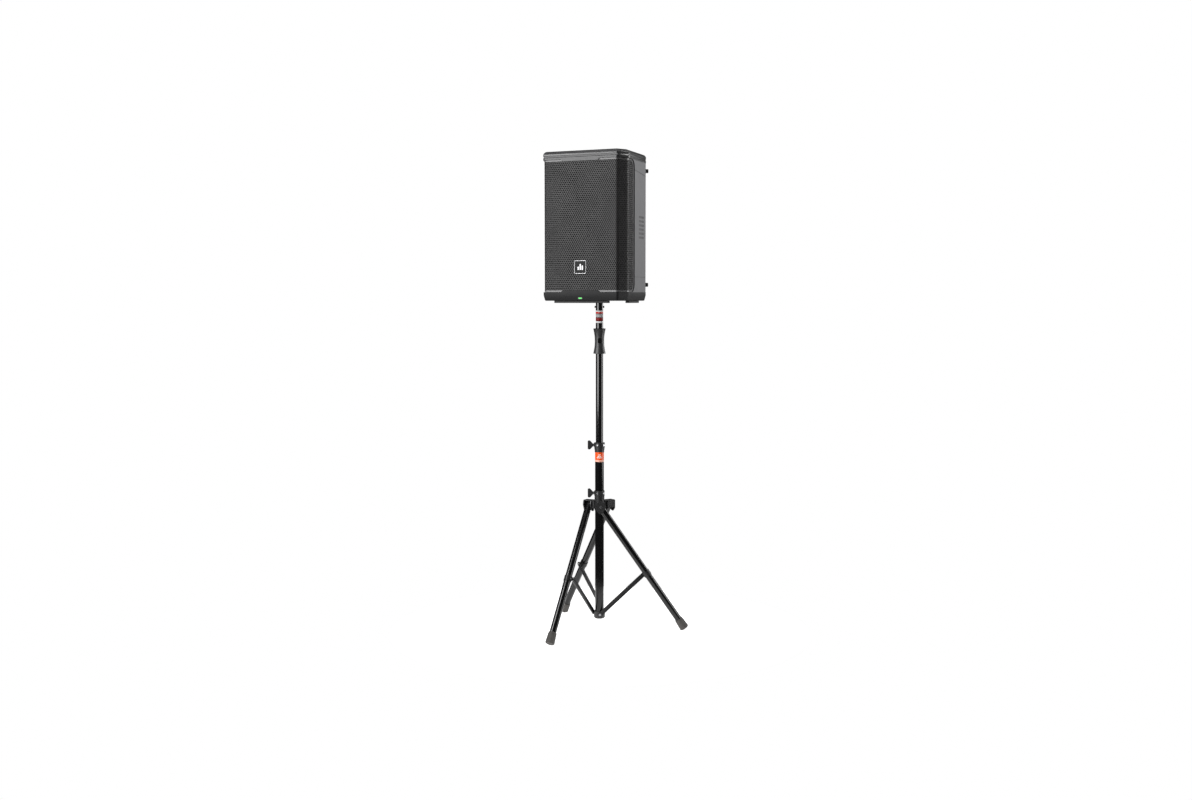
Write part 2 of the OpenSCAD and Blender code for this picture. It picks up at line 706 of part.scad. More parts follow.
module input_sockets() {
    color("#3c3c40") at_speaker() for (x = socket_x) translate([x, panel_y + amp_t, sockets_z]) rotate([90, 0, 0])
        difference() {
            union() {
                translate([0, 0, -1.5]) cylinder(r = 15, h = 1.5);
                cylinder(r = 12.4, h = 24);
            }
            translate([0, 0, -2]) cylinder(r = 9.5, h = 18);
            cylinder(r = 3.2, h = 23);
        }
}
module power_inlet() {
    color("#151517") at_speaker() difference() {
        union() {
            block(inlet_x, panel_y + amp_t, inlet_z - 16, 54, 1.5, 32);
            block(inlet_x, panel_y - 22, inlet_z - 13.5, 49, 22 + amp_t, 27);
        }
        block(inlet_x, panel_y - 14, inlet_z - 10, 25, 30, 20);
        for (x = [-7, 0, 7]) block(inlet_x + x, panel_y - 15, inlet_z - 1 + (x == 0 ? 2 : -2), 2, 4, 4);
    }
}
module level_knob(x) {
    at_speaker() translate([x, panel_y + amp_t + loose, controls_z]) rotate([-90, 0, 0]) union() {
        difference() {
            cylinder(r = 9, h = 5.5);
            translate([-0.8, 3, 4.5]) cube([1.6, 8, 2]);
        }
        translate([0, 0, -12]) cylinder(r = 3.4, h = 13);
    }
}
module level_knob_a() { color("#2a2a2d") level_knob(knob_x[0]); }
module level_knob_b() { color("#2a2a2d") level_knob(knob_x[1]); }
// The rocker's pivot, or its running hole where extra widens it
module rocker_pin(extra) {
    translate([inlet_x, panel_y + amp_t / 2, rocker_z]) rotate([0, 90, 0])
        cylinder(r = 1 + extra, h = 34 + 4 * extra, center = true);
}
module power_rocker() {
    color("#121213") at_speaker() union() {
        translate([inlet_x, panel_y + amp_t / 2, rocker_z]) rotate([0, 90, 0])
            linear_extrude(29, center = true) polygon([[-10, 2], [0, 2.8], [10, 5.4], [9, -7], [-9, -7]]);
        rocker_pin(0);
    }
}

main_tube();
upper_collar();
collar_bolts();
tube_band();
base_fitting();
base_cap();
base_rivets();
upper_knob();
upper_knob_stud();
pole();
pole_plug();
pole_pin();
grip_sleeve();
pole_band();
grip_button();
pole_top_cap();
hub_collar();
hub_bolts();
hub_pins();
hub_knob();
hub_knob_stud();
leg_a();
leg_b();
leg_c();
foot_a();
foot_b();
foot_c();
leg_bracket_a();
leg_bracket_b();
leg_bracket_c();
brace_a();
brace_b();
brace_c();
cabinet_shell();
baffle();
top_cap();
bottom_cap();
grille();
grille_foam();
badge();
led_lens();
cabinet_feet();
rear_bumpers();
pole_cup();
rigging_inserts();
woofer_basket();
woofer_magnet();
woofer_surround();
horn();
compression_driver();
amp_panel();
heat_sink();
amp_board();
input_sockets();
power_inlet();
panel_screws();
woofer_cone();
level_knob_a();
level_knob_b();
power_rocker();
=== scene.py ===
"""Looks of a powered PA speaker on its tripod stand. Metres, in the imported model's frame."""
import math

import bmesh
import bpy
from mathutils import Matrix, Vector
from mathutils.geometry import convex_hull_2d


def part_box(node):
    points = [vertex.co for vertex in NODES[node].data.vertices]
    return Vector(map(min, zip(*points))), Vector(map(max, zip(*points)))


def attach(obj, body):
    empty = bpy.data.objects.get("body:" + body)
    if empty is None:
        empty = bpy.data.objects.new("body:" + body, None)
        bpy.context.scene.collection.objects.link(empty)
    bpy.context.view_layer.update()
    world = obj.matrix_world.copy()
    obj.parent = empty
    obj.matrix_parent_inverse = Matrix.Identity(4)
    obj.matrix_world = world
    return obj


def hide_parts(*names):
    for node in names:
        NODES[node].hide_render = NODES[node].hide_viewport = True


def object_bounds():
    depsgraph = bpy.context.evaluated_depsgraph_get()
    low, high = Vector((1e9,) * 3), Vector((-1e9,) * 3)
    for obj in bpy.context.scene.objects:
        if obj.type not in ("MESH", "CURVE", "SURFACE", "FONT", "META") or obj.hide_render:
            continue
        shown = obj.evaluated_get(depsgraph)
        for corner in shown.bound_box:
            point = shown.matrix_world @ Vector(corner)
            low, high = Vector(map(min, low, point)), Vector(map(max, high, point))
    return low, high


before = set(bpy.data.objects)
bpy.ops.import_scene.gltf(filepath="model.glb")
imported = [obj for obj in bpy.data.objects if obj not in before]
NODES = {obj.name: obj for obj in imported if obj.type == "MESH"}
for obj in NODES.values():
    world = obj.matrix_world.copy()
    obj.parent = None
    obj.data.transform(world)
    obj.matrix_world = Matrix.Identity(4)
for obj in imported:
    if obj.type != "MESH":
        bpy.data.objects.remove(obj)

CAD_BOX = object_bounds()
MM = 0.001


def middle(node):
    """The middle of a CAD node's box."""
    low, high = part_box(node)
    return (low + high) / 2


MAST = middle("main_tube")
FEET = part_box("cabinet_feet")[0].z      # the underside of the cabinet's feet


# ---------------------------------------------------------------- camera and light
VIEW_AZIMUTH = 26          # degrees round the speaker, from straight ahead towards its right
VIEW_DISTANCE = 6.723      # from the mast
VIEW_HEIGHT = 1.585
AIM_HEIGHT = 1.105         # where its middle line meets the mast
LENS = 42.69
SHIFT_X = -0.0029
FLOOR_RADIUS = 1.0         # holds the feet with room to spare. A wider one lights the tubes more
FLOOR_GAP = 0.4 * MM       # keeps the paper just clear of the feet
FLOOR_GLOW = 0.86


def around_mast(azimuth, distance, height):
    """The point at that distance from the mast. Azimuth 0 is in front of the grille."""
    turn = math.radians(azimuth)
    return Vector((MAST.x + distance * math.sin(turn), MAST.y - distance * math.cos(turn), height))


def aim(obj, target):
    """Turns a camera or a light towards a point."""
    obj.rotation_euler = (Vector(target) - obj.location).to_track_quat("-Z", "Y").to_euler()


def add_camera():
    """The camera is about level with the cabinet's feet and looks slightly down."""
    camera = bpy.data.objects.new("camera", bpy.data.cameras.new("camera"))
    bpy.context.scene.collection.objects.link(camera)
    camera.location = around_mast(VIEW_AZIMUTH, VIEW_DISTANCE, VIEW_HEIGHT)
    aim(camera, (MAST.x, MAST.y, AIM_HEIGHT))
    camera.data.sensor_width = 36
    camera.data.lens = LENS
    camera.data.shift_x = SHIFT_X
    bpy.context.scene.camera = camera


def softbox(name, azimuth, distance, height, size, power, target_height=1.1):
    """A rectangular light. Its azimuth counts from the camera's, and it shines at the mast."""
    light = bpy.data.lights.new(name, "AREA")
    light.shape = "RECTANGLE"
    light.size, light.size_y = size
    light.energy = power
    lamp = bpy.data.objects.new(name, light)
    bpy.context.scene.collection.objects.link(lamp)
    lamp.location = around_mast(VIEW_AZIMUTH + azimuth, distance, height)
    aim(lamp, (MAST.x, MAST.y, target_height))


def add_world(seen=1.0, given=0.06):
    """A white background that lights the object only dimly, so that the softboxes shape it."""
    world = bpy.data.worlds.new("studio")
    world.use_nodes = True
    bpy.context.scene.world = world
    nodes, links = world.node_tree.nodes, world.node_tree.links
    nodes.clear()
    shown = nodes.new("ShaderNodeBackground")
    shown.inputs["Strength"].default_value = seen
    shown.inputs["Color"].default_value = (1, 1, 1, 1)
    lit = nodes.new("ShaderNodeBackground")
    lit.inputs["Strength"].default_value = given
    lit.inputs["Color"].default_value = (1, 1, 1, 1)
    path = nodes.new("ShaderNodeLightPath")
    mix = nodes.new("ShaderNodeMixShader")
    out = nodes.new("ShaderNodeOutputWorld")
    links.new(path.outputs["Is Camera Ray"], mix.inputs["Fac"])
    links.new(lit.outputs[0], mix.inputs[1])
    links.new(shown.outputs[0], mix.inputs[2])
    links.new(mix.outputs[0], out.inputs["Surface"])


def add_studio():
    add_world()
    softbox("key", -50, 3.2, 1.85, (2.3, 2.1), 90, 1.8)
    softbox("edge", -56, 3.3, 3.5, (1.4, 1.0), 70, 2.3)
    softbox("side", 114, 3.0, 2.6, (1.2, 2.8), 66, 1.9)
    softbox("pole_edge", 90, 3.0, 0.85, (1.6, 1.0), 22, 1.0)
    softbox("top", 20, 0.6, 4.0, (3.0, 3.0), 40)
    add_floor()


def add_floor():
    """White paper. It glows a little, so that it is as white as the background behind it."""
    floor = make_object("floor", *disc(FLOOR_RADIUS, 64))
    floor.location = (MAST.x, MAST.y, CAD_BOX[0].z - FLOOR_GAP)
    paper = surface("floor", (0.80, 0.80, 0.80), 0.75, spread=0.02, grain=40, bump=0.02)
    glow = shader_of(paper.node_tree.nodes)
    glow.inputs["Emission Color"].default_value = (1, 1, 1, 1)
    glow.inputs["Emission Strength"].default_value = FLOOR_GLOW
    give(floor, paper)


# ---------------------------------------------------------------- materials
def new_material(name):
    material = bpy.data.materials.new(name)
    material.use_nodes = True
    return material, material.node_tree.nodes, material.node_tree.links


def shader_of(nodes):
    return next(n for n in nodes if n.type == "BSDF_PRINCIPLED")


def math_node(nodes, links, kind, a, b=None):
    """A Math node whose inputs are numbers or sockets."""
    node = nodes.new("ShaderNodeMath")
    node.operation = kind
    for slot, value in enumerate((a, b)):
        if value is None:
            continue
        if isinstance(value, (int, float)):
            node.inputs[slot].default_value = value
        else:
            links.new(value, node.inputs[slot])
    return node.outputs[0]


def noise(nodes, links, where, scale, detail=4.0, rough=0.55):
    node = nodes.new("ShaderNodeTexNoise")
    node.inputs["Scale"].default_value = scale
    node.inputs["Detail"].default_value = detail
    node.inputs["Roughness"].default_value = rough
    links.new(where, node.inputs["Vector"])
    return node.outputs["Fac"]


def spread_value(nodes, links, value, low, high):
    node = nodes.new("ShaderNodeMapRange")
    node.inputs["From Min"].default_value = 0.3
    node.inputs["From Max"].default_value = 0.7
    node.inputs["To Min"].default_value = low
    node.inputs["To Max"].default_value = high
    links.new(value, node.inputs["Value"])
    return node.outputs["Result"]


def shade(colour, factor):
    return tuple(min(1.0, c * factor) for c in colour[:3]) + (1.0,)


def mix_colour(nodes, links, factor, a, b):
    """Mixes two colours. Each is a colour or a socket."""
    node = nodes.new("ShaderNodeMix")
    node.data_type = "RGBA"
    links.new(factor, node.inputs["Factor"])
    for name, value in (("A", a), ("B", b)):
        slot = next(s for s in node.inputs if s.name == name and s.type == "RGBA")
        if isinstance(value, tuple):
            slot.default_value = value
        else:
            links.new(value, slot)
    return next(s for s in node.outputs if s.type == "RGBA")


def surface(name, colour, roughness, metallic=0.0, spread=0.12, grain=900, bump=0.08,
            depth=0.0002, coat=0.0, specular=0.5, blotch=9, pits=False, sheen=0.0, painter=None):
    """A procedural surface: slow colour and gloss changes over it, and a fine grain in relief.
    painter(nodes, links, where, colour) may paint over the colour."""
    material, nodes, links = new_material(name)
    shader = shader_of(nodes)
    where = nodes.new("ShaderNodeTexCoord").outputs["Object"]
    slow = noise(nodes, links, where, blotch, 5)
    fine = noise(nodes, links, where, grain, 2, 0.5)
    both = math_node(nodes, links, "MULTIPLY_ADD", fine, 0.35)
    links.new(slow, both.node.inputs[2])
    tone = spread_value(nodes, links, both, 0.0, 1.0)
    painted = mix_colour(nodes, links, tone, shade(colour, 1 - spread), shade(colour, 1 + spread))
    if painter:
        painted = painter(nodes, links, where, painted)
    links.new(painted, shader.inputs["Base Color"])
    gloss = spread_value(nodes, links, slow, roughness * 0.88, min(1.0, roughness * 1.12))
    links.new(gloss, shader.inputs["Roughness"])
    relief = fine
    if pits:
        cells = nodes.new("ShaderNodeTexVoronoi")
        cells.inputs["Scale"].default_value = grain
        links.new(where, cells.inputs["Vector"])
        relief = cells.outputs["Distance"]
    bumps = nodes.new("ShaderNodeBump")
    bumps.inputs["Strength"].default_value = bump
    bumps.inputs["Distance"].default_value = depth
    links.new(relief, bumps.inputs["Height"])
    links.new(bumps.outputs["Normal"], shader.inputs["Normal"])
    shader.inputs["Metallic"].default_value = metallic
    shader.inputs["Specular IOR Level"].default_value = specular
    shader.inputs["Coat Weight"].default_value = coat
    shader.inputs["Coat Roughness"].default_value = 0.12
    shader.inputs["Sheen Weight"].default_value = sheen
    return material


def in_range(nodes, links, value, low, high):
    """1 where value lies between low and high."""
    above = math_node(nodes, links, "GREATER_THAN", value, low)
    below = math_node(nodes, links, "LESS_THAN", value, high)
    return math_node(nodes, links, "MULTIPLY", above, below)


def height_and_angle(nodes, links, where):
    """The height of a point, and its angle round the mast from where the band's mark faces."""
    parts = nodes.new("ShaderNodeSeparateXYZ")
    links.new(where, parts.inputs[0])
    east = math_node(nodes, links, "SUBTRACT", parts.outputs["X"], MAST.x)
    north = math_node(nodes, links, "SUBTRACT", MAST.y, parts.outputs["Y"])
    angle = math_node(nodes, links, "ARCTAN2", east, north)
    return parts.outputs["Z"], math_node(nodes, links, "SUBTRACT", angle, math.radians(MARK_AZIMUTH))


def paint_bands(bands):
    """A painter of level bands: [(low height, high height, colour), ...]."""
    def painter(nodes, links, where, colour):
        height, _ = height_and_angle(nodes, links, where)
        for low, high, band in bands:
            inside = in_range(nodes, links, height, low, high)
            colour = mix_colour(nodes, links, inside, colour, band + (1,))
        return colour
    return painter


MARK_AZIMUTH = 26          # the band's mark faces this way, a little to the speaker's right
MARK_BARS = ((18, 0.62), (25, 0.45), (32, 0.28))    # height in millimetres, half the width in radians
MARK_BAR = 4               # millimetres thick
ORANGE = (1.0, 0.105, 0.008)
PEACH = (0.95, 0.50, 0.38)
PALE = (0.93, 0.86, 0.82)


def paint_mast_band(nodes, links, where, colour):
    """Orange, with a pale edge at the bottom and a plain mark of three level bars."""
    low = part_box("tube_band")[0].z
    height, angle = height_and_angle(nodes, links, where)
    edge = in_range(nodes, links, height, low, low + 9 * MM)
    colour = mix_colour(nodes, links, edge, colour, PEACH + (1,))
    for start, half in MARK_BARS:
        across = in_range(nodes, links, angle, -half, half)
        upward = in_range(nodes, links, height, low + start * MM, low + (start + MARK_BAR) * MM)
        mark = math_node(nodes, links, "MULTIPLY", across, upward)
        colour = mix_colour(nodes, links, mark, colour, PALE + (1,))
    return colour


SIDE_GREY = (0.10, 0.10, 0.105)
SIDE_BARS = 6
SIDE_BARS_LOW, SIDE_BAR_STEP, SIDE_BAR = 300.5, 19, 10      # millimetres above the feet, apart and tall
SIDE_BARS_FROM, SIDE_BARS_TO = 16, 87                       # millimetres behind the mast
UPPER_LINE, LOWER_LINE = (607.3, 610.4), (119.8, 121.8)     # millimetres above the feet
SIDE_SLOPE = 5                                              # degrees, of the upper line


def paint_side_recess_shade(nodes, links, where, colour):
    """The bars and lines pressed into the sides are painted darker: painted shade in their recesses."""
    parts = nodes.new("ShaderNodeSeparateXYZ")
    links.new(where, parts.inputs[0])
    back = math_node(nodes, links, "SUBTRACT", parts.outputs["Y"], MAST.y)
    level = math_node(nodes, links, "SUBTRACT", parts.outputs["Z"], FEET)
    # painted shade: the colour laid into the pressed bars and lines
    dark = shade(SIDE_GREY, 0.35)
    across = in_range(nodes, links, back, SIDE_BARS_FROM * MM, SIDE_BARS_TO * MM)
    for k in range(SIDE_BARS):
        low = SIDE_BARS_LOW + SIDE_BAR_STEP * k
        bar = in_range(nodes, links, level, low * MM, (low + SIDE_BAR) * MM)
        colour = mix_colour(nodes, links, math_node(nodes, links, "MULTIPLY", across, bar), colour, dark)
    slope = math_node(nodes, links, "MULTIPLY_ADD", back, math.tan(math.radians(SIDE_SLOPE)))
    links.new(level, slope.node.inputs[2])
    for value, (low, high) in ((slope, UPPER_LINE), (level, LOWER_LINE)):
        line = in_range(nodes, links, value, low * MM, high * MM)
        colour = mix_colour(nodes, links, line, colour, dark)
    return colour


TICK_FROM, TICK_TO = 1.5, 4.5       # millimetres outside the knob
TICK_SWEEP = 2.45                   # radians each way from the top
TICK_GREY = (0.6, 0.6, 0.6)


def paint_ticks(nodes, links, where, colour):
    """Pale ticks are printed round the two level knobs, with a gap below each."""
    parts = nodes.new("ShaderNodeSeparateXYZ")
    links.new(where, parts.inputs[0])
    for knob in ("level_knob_a", "level_knob_b"):
        low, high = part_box(knob)
        radius = (high.x - low.x) / 2
        across = math_node(nodes, links, "SUBTRACT", parts.outputs["X"], (low.x + high.x) / 2)
        upward = math_node(nodes, links, "SUBTRACT", parts.outputs["Z"], (low.z + high.z) / 2)
        angle = math_node(nodes, links, "ARCTAN2", across, upward)
        square = math_node(nodes, links, "MULTIPLY", across, across)
        squares = math_node(nodes, links, "MULTIPLY_ADD", upward, upward)
        links.new(square, squares.node.inputs[2])
        ring = in_range(nodes, links, squares, (radius + TICK_FROM * MM) ** 2, (radius + TICK_TO * MM) ** 2)
        turns = math_node(nodes, links, "MULTIPLY", angle, 12 / (2 * math.pi))
        part = math_node(nodes, links, "FRACT", math_node(nodes, links, "ADD", turns, 0.5))
        tick = math_node(nodes, links, "MULTIPLY", ring, in_range(nodes, links, part, 0.42, 0.58))
        swept = in_range(nodes, links, angle, -TICK_SWEEP, TICK_SWEEP)
        tick = math_node(nodes, links, "MULTIPLY", tick, swept)
        colour = mix_colour(nodes, links, tick, colour, TICK_GREY + (1,))
    return colour


LOOKS = {}


def look(name, *values, **extras):
    """Adds a surface to LOOKS under its name."""
    LOOKS[name] = surface(name, *values, **extras)


def label_stripes():
    """The pole label's stripes, from its lower edge up: (low height, high height, colour)."""
    white, red, dark_red = (0.92, 0.93, 0.93), (0.90, 0.03, 0.012), (0.26, 0.008, 0.008)
    grey, black = (0.24, 0.24, 0.25), (0.02, 0.02, 0.02)
    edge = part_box("pole_band")[0].z
    rows = ((0, 7, white), (7, 10, black), (10, 24, dark_red), (24, 44, grey), (29, 31, white),
            (35, 38, white), (44, 51, red), (51, 58, white))
    return [(edge + low * MM, edge + high * MM, colour) for low, high, colour in rows]


def make_stand_looks():
    look("gloss", (0.003, 0.003, 0.0032), 0.11, spread=0.2, grain=700, bump=0.008, coat=0.5)
    look("leg", (0.003, 0.003, 0.0032), 0.14, spread=0.2, grain=700, bump=0.01, specular=0.4)
    look("pin", (0.05, 0.022, 0.016), 0.5, 0.3, grain=900, bump=0.2)
    look("satin", (0.010, 0.010, 0.0105), 0.36, grain=1100, bump=0.12, specular=0.35)
    look("nylon", (0.018, 0.018, 0.0185), 0.38, spread=0.2, grain=1500, bump=0.3, pits=True)
    look("knob", (0.012, 0.012, 0.0125), 0.55, spread=0.2, grain=1800, bump=0.3, pits=True)
    look("bright_zinc", (0.50, 0.50, 0.51), 0.25, 1.0, grain=600, bump=0.05)
    look("dark_zinc", (0.30, 0.30, 0.31), 0.35, 1.0, grain=900, bump=0.1)
    look("orange", ORANGE, 0.32, spread=0.03, grain=400, bump=0.02, painter=paint_mast_band)
    look("striped", (0.02, 0.02, 0.02), 0.5, spread=0.05, grain=400, bump=0.02, specular=0.25,
         painter=paint_bands(label_stripes()))
    look("grip", (0.026, 0.026, 0.0265), 0.36, spread=0.35, grain=1000, bump=0.5, blotch=60, pits=True)
    look("button", (0.003, 0.003, 0.003), 0.2, grain=900, bump=0.03)
    look("foot_rubber", (0.038, 0.035, 0.032), 0.7, spread=0.35, grain=700, bump=0.5, blotch=30)


def make_cabinet_looks():
    look("cap", (0.016, 0.016, 0.017), 0.32, spread=0.12, grain=1400, bump=0.3, pits=True)
    look("cap_low", (0.011, 0.011, 0.0115), 0.55, grain=1400, bump=0.3, specular=0.2, pits=True)
    look("side", SIDE_GREY, 0.55, spread=0.08, grain=1400, bump=0.5, pits=True, painter=paint_side_recess_shade)
    look("rubber", (0.010, 0.010, 0.010), 0.7, grain=900, bump=0.4)
    look("grille", (0.034, 0.033, 0.034), 0.42, spread=0.1, grain=1500, bump=0.15, specular=0.3)
    look("grille_rim", (0.10, 0.098, 0.10), 0.30, spread=0.08, grain=1500, bump=0.12)
    look("foam", (0.004, 0.004, 0.004), 0.95, spread=0.5, grain=900, bump=1.0, depth=0.001)
    look("badge_rim", (0.30, 0.30, 0.305), 0.4, 1.0, grain=1600, bump=0.15)
    look("badge_field", (0.006, 0.006, 0.0065), 0.6, specular=0.25, grain=900, bump=0.05)
    look("badge_mark", (0.80, 0.80, 0.81), 0.3, spread=0.02, grain=900, bump=0.03)
    look("led", (0.0, 0.03, 0.004), 0.25, spread=0.2, grain=900, bump=0.02)
    light_middle(LOOKS["led"], "led_lens", (0.0, 0.95, 0.04, 1), 0.68)


def make_works_looks():
    """Surfaces of the amplifier and of what is inside the cabinet."""
    look("black_plastic", (0.012, 0.012, 0.012), 0.35, grain=1200, bump=0.15)
    look("panel", (0.016, 0.016, 0.017), 0.45, grain=1000, bump=0.35, painter=paint_ticks)
    look("anodised", (0.02, 0.02, 0.021), 0.35, 0.8, grain=1500, bump=0.15)
    look("nickel", (0.20, 0.20, 0.21), 0.28, 1.0, grain=900, bump=0.08)
    look("laminate", (0.012, 0.10, 0.03), 0.4, grain=400, bump=0.1)
    look("paper", (0.012, 0.012, 0.012), 0.9, spread=0.4, grain=350, bump=0.6)
    look("cast", (0.02, 0.02, 0.021), 0.5, grain=500, bump=0.4)


def light_middle(material, node, colour, share):
    """The middle of a lens glows. Share is the part of its width and height that is lit."""
    nodes, links = material.node_tree.nodes, material.node_tree.links
    low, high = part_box(node)
    centre, half = (low + high) / 2, (high - low) / 2 * share
    parts = nodes.new("ShaderNodeSeparateXYZ")
    links.new(nodes.new("ShaderNodeTexCoord").outputs["Object"], parts.inputs[0])
    across = in_range(nodes, links, parts.outputs["X"], centre.x - half.x, centre.x + half.x)
    upward = in_range(nodes, links, parts.outputs["Z"], centre.z - half.z, centre.z + half.z)
    lit = math_node(nodes, links, "MULTIPLY", across, upward)
    shader = shader_of(nodes)
    links.new(mix_colour(nodes, links, lit, (0.0, 0.0, 0.0, 1.0), colour), shader.inputs["Emission Color"])
    shader.inputs["Emission Strength"].default_value = 1.0


# ---------------------------------------------------------------- mesh helpers
def make_object(name, points, faces):
    mesh = bpy.data.meshes.new(name)
    mesh.from_pydata([tuple(p) for p in points], [], faces)
    mesh.update()
    obj = bpy.data.objects.new(name, mesh)
    bpy.context.scene.collection.objects.link(obj)
    return obj


def disc(radius, sides):
    """The points and the one face of a flat round sheet."""
    turns = [2 * math.pi * k / sides for k in range(sides)]
    return [(radius * math.cos(t), radius * math.sin(t), 0) for t in turns], [tuple(range(sides))]


def give(obj, material):
    """The object wears one material, whatever it had."""
    obj.data.materials.clear()
    obj.data.materials.append(material)
    for face in obj.data.polygons:
        face.material_index = 0


def bevel(obj, width, segments=3, angle=35):
    """Welds the mesh, rounds its sharp edges and shades it smoothly."""
    weld = obj.modifiers.new("weld", "WELD")
    weld.merge_threshold = 1e-5
    edge = obj.modifiers.new("round", "BEVEL")
    edge.width = width
    edge.segments = segments
    edge.limit_method = "ANGLE"
    edge.angle_limit = math.radians(angle)
    edge.harden_normals = False
    smooth(obj)


def smooth(obj):
    for face in obj.data.polygons:
        face.use_smooth = True
    weighted = obj.modifiers.new("normals", "WEIGHTED_NORMAL")
    weighted.keep_sharp = True
    weighted.weight = 80


def dress(names, material, rounding=0.0, angle=35):
    """CAD nodes that keep their shape get a material and, if asked, rounded edges."""
    for name in names.split():
        give(NODES[name], material)
        if rounding:
            bevel(NODES[name], rounding, angle=angle)


def rounded_loop(width, height, radius, steps=6, edge=1):
    """Points round a rectangle with rounded corners, about its middle. Each straight side has edge parts."""
    centres = [(width / 2 - radius, height / 2 - radius, 0), (radius - width / 2, height / 2 - radius, 90),
               (radius - width / 2, radius - height / 2, 180), (width / 2 - radius, radius - height / 2, 270)]
    loop = []
    for number, (x, z, start) in enumerate(centres):
        for step in range(steps + 1):
            turn = math.radians(start + 90 * step / steps)
            loop.append((x + radius * math.cos(turn), z + radius * math.sin(turn)))
        x2, z2, start2 = centres[(number + 1) % 4]
        turn = math.radians(start2)
        goal = (x2 + radius * math.cos(turn), z2 + radius * math.sin(turn))
        here = loop[-1]
        loop += [(here[0] + (goal[0] - here[0]) * k / edge, here[1] + (goal[1] - here[1]) * k / edge)
                 for k in range(1, edge)]
    return loop


def bridge(faces, first, second, count):
    """Joins two closed loops of count points, which start at those places, with faces."""
    for k in range(count):
        after = (k + 1) % count
        faces.append((first + k, first + after, second + after, second + k))


# ---------------------------------------------------------------- grille, foam and badge
GRILLE_CORNER = 40 * MM     # radius of its outline's corners
HOLE_PITCH = 10.2 * MM
HOLE_SHARE = 0.76           # of the pitch that a hole takes up
RIM = 8 * MM                # the plain band along the sheet's edge
SHEET = 1.2 * MM            # thickness


class Wall:
    """The grille's curved face, unrolled: s runs along its outline in plan and z is the height."""

    def __init__(self, node):
        low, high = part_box(node)
        self.low, self.high = low.z, high.z
        points = sorted({(round(v.co.x, 5), round(v.co.y, 5)) for v in NODES[node].data.vertices})
        ring = [Vector(points[i]) for i in convex_hull_2d([Vector(point) for point in points])]
        start = max((i for i in range(len(ring)) if ring[i].x < MAST.x), key=lambda i: ring[i].y)
        ring = ring[start:] + ring[:start]
        if ring[1].x > MAST.x:
            ring = ring[:1] + ring[:0:-1]
        self.corners = ring
        self.steps = [(b - a).length for a, b in zip(ring, ring[1:])]
        self.length = sum(self.steps)

    def at(self, s, z, depth=0.0):
        """The point at s and z, that far behind the face."""
        for number, step in enumerate(self.steps):
            if s <= step or number == len(self.steps) - 1:
                break
            s -= step
        start, end = self.corners[number], self.corners[number + 1]
        along = (end - start).normalized()
        flat = start + along * s + Vector((-along.y, along.x)) * depth
        return flat.x, flat.y, z

    def holds(self, s, z, margin):
        """True if the place lies inside the rounded outline by the margin."""
        across = abs(s - self.length / 2)
        upward = abs(z - (self.low + self.high) / 2)
        wide, tall = self.length / 2, (self.high - self.low) / 2
        if across > wide - margin or upward > tall - margin:
            return False
        corner_s, corner_z = across - (wide - GRILLE_CORNER), upward - (tall - GRILLE_CORNER)
        return min(corner_s, corner_z) < 0 or math.hypot(corner_s, corner_z) < GRILLE_CORNER - margin


def perforated(wall):
    """The sheet: each cell of a honeycomb is six faces round a hexagonal hole."""
    points, faces, shared = [], [], {}
    row_step, reach = HOLE_PITCH * math.sqrt(3) / 2, HOLE_PITCH / math.sqrt(3)
    for row in range(int((wall.high - wall.low) / row_step) + 1):
        z = wall.low + row * row_step
        for column in range(int(wall.length / HOLE_PITCH) + 1):
            s = (column + 0.5 * (row % 2)) * HOLE_PITCH
            if not wall.holds(s, z, 0.75 * RIM):
                continue
            outer, inner = [], []
            for k in range(6):
                turn = math.radians(30 + 60 * k)
                ds, dz = reach * math.cos(turn), reach * math.sin(turn)
                place = (round((s + ds) * 1e5), round((z + dz) * 1e5))
                if place not in shared:
                    shared[place] = len(points)
                    points.append(wall.at(s + ds, z + dz, 0.2 * MM))
                outer.append(shared[place])
                inner.append(len(points))
                points.append(wall.at(s + ds * HOLE_SHARE, z + dz * HOLE_SHARE, 0.2 * MM))
            faces += [(outer[k], outer[(k + 1) % 6], inner[(k + 1) % 6], inner[k]) for k in range(6)]
    return points, faces


def rim_band(wall):
    """The solid band round the sheet, with its edges turned in."""
    section = [(0.0, 1.5), (0.0, 0.6), (0.25, 0.2), (0.6, 0.0),
               (7.2, 0.0), (7.7, 0.25), (8.0, 0.7), (8.0, 1.5)]    # inset and depth, in millimetres
    points, faces = [], []
    middle_s, middle_z = wall.length / 2, (wall.low + wall.high) / 2
    for inset, depth in section:
        loop = rounded_loop(wall.length - 2 * inset * MM, wall.high - wall.low - 2 * inset * MM,
                            GRILLE_CORNER - inset * MM, steps=10, edge=150)
        points += [wall.at(middle_s + s, middle_z + z, depth * MM) for s, z in loop]
    count = len(loop)
    for ring in range(len(section)):
        bridge(faces, ring * count, (ring + 1) % len(section) * count, count)
    return points, faces


def add_grille():
    """The sheet and its rim take the place of the plain CAD grille."""
    wall = Wall("grille")
    sheet = make_object("grille_sheet", *perforated(wall))
    give(sheet, LOOKS["grille"])
    thick = sheet.modifiers.new("thickness", "SOLIDIFY")
    thick.thickness = SHEET
    thick.offset = -1
    band = make_object("grille_rim", *rim_band(wall))
    give(band, LOOKS["grille_rim"])
    smooth(band)
    for piece in (sheet, band):
        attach(piece, "cabinet")
        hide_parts("grille")
    add_foam(wall)


